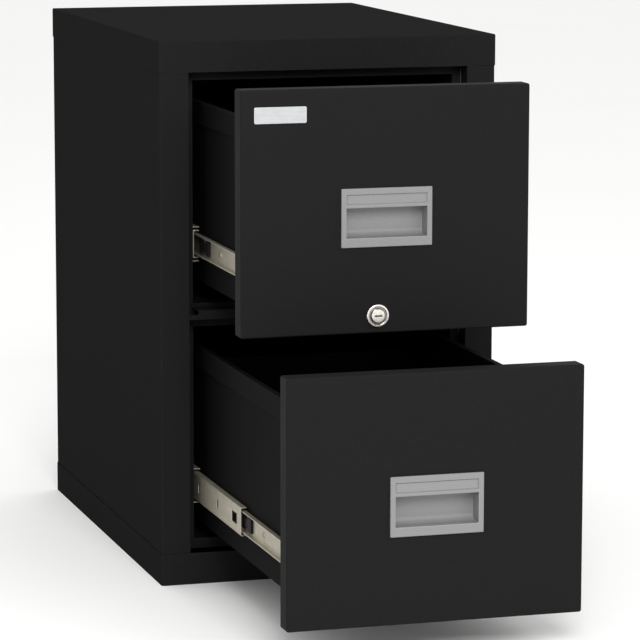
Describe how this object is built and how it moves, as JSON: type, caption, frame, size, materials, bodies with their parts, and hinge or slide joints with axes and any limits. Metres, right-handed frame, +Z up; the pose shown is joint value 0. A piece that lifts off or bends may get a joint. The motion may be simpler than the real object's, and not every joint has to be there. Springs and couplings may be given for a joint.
{
  "type": "fire-resistant filing cabinet",
  "caption": "Insulated steel vertical filing cabinet whose drawers roll out on telescopic slides, with recessed pulls and a key lock.",
  "frame": {"origin": "centre of the cabinet's base, on the floor", "axes": "+X to the right of someone facing the drawers, drawers open towards -Y, +Z up"},
  "size_m": [0.451, 1.0805, 0.705],
  "materials": {
    "shell_paint": "satin",
    "frame_paint": "satin",
    "front_paint": "satin",
    "liner_paint": "matte",
    "tub_paint": "satin",
    "insulation": "matte",
    "screw_zinc": "satin",
    "slide_zinc": "satin",
    "ball_steel": "gloss",
    "lever_plastic": "matte",
    "pull_plastic": "satin",
    "card": "matte",
    "badge_metal": "satin",
    "lock_nickel": "gloss",
    "lock_steel": "satin"
  },
  "bodies": {
    "cabinet": {"back_panel": "shell_paint", "base_pan": "shell_paint", "divider_rib": "frame_paint", "insulation_back": "insulation", "insulation_bottom": "insulation", "insulation_divider": "insulation", "insulation_left": "insulation", "insulation_right": "insulation", "insulation_top": "insulation", "lower_liner": "liner_paint", "lower_slide_outer_left": "slide_zinc", "lower_slide_outer_right": "slide_zinc", "side_panel_left": "shell_paint", "side_panel_right": "shell_paint", "stop_frame": "frame_paint", "strike_plate": "lock_steel", "top_cap": "shell_paint", "upper_liner": "liner_paint", "upper_slide_outer_left": "slide_zinc", "upper_slide_outer_right": "slide_zinc"},
    "upper_drawer": {"upper_back_plate": "liner_paint", "upper_front_core": "insulation", "upper_front_panel": "front_paint", "upper_inner_core": "insulation", "upper_label_card": "card", "upper_pull": "pull_plastic", "upper_release_levers": "lever_plastic", "upper_side_rails": "tub_paint", "upper_slide_inner_left": "slide_zinc", "upper_slide_inner_right": "slide_zinc", "upper_slide_screws": "screw_zinc", "upper_tub": "tub_paint", "upper_tub_back": "tub_paint", "upper_tub_front": "tub_paint", "badge": "badge_metal", "lock_housing": "lock_nickel", "lock_nut": "lock_steel"},
    "lower_drawer": {"lower_back_plate": "liner_paint", "lower_front_core": "insulation", "lower_front_panel": "front_paint", "lower_inner_core": "insulation", "lower_label_card": "card", "lower_pull": "pull_plastic", "lower_release_levers": "lever_plastic", "lower_side_rails": "tub_paint", "lower_slide_inner_left": "slide_zinc", "lower_slide_inner_right": "slide_zinc", "lower_slide_screws": "screw_zinc", "lower_tub": "tub_paint", "lower_tub_back": "tub_paint", "lower_tub_front": "tub_paint"},
    "upper_middle_slides": {"upper_ball_cages": "ball_steel", "upper_slide_middle_left": "slide_zinc", "upper_slide_middle_right": "slide_zinc"},
    "lower_middle_slides": {"lower_ball_cages": "ball_steel", "lower_slide_middle_left": "slide_zinc", "lower_slide_middle_right": "slide_zinc"},
    "lock_core": {"lock_plug": "lock_nickel", "lock_cam": "lock_steel"}
  },
  "joints": [
    {"name": "upper_drawer_slide", "type": "slide", "parent": "cabinet", "child": "upper_drawer", "axis": [0, -1, 0], "range_m": [-0.242, 0.258]},
    {"name": "lower_drawer_slide", "type": "slide", "parent": "cabinet", "child": "lower_drawer", "axis": [0, -1, 0], "range_m": [-0.4425, 0.0575]},
    {"name": "upper_middle_slide", "type": "slide", "parent": "cabinet", "child": "upper_middle_slides", "axis": [0, -1, 0], "range_m": [-0.121, 0.129]},
    {"name": "lower_middle_slide", "type": "slide", "parent": "cabinet", "child": "lower_middle_slides", "axis": [0, -1, 0], "range_m": [-0.22125, 0.02875]},
    {"name": "lock_turn", "type": "hinge", "parent": "upper_drawer", "child": "lock_core", "pos_m": [-0.011, -0.5595, 0.38185], "axis": [0, 1, 0], "range_deg": [0, 90]}
  ],
  "couplings": [
    {"joint": "upper_middle_slide", "follows": "upper_drawer_slide", "ratio": 0.5},
    {"joint": "lower_middle_slide", "follows": "lower_drawer_slide", "ratio": 0.5}
  ]
}
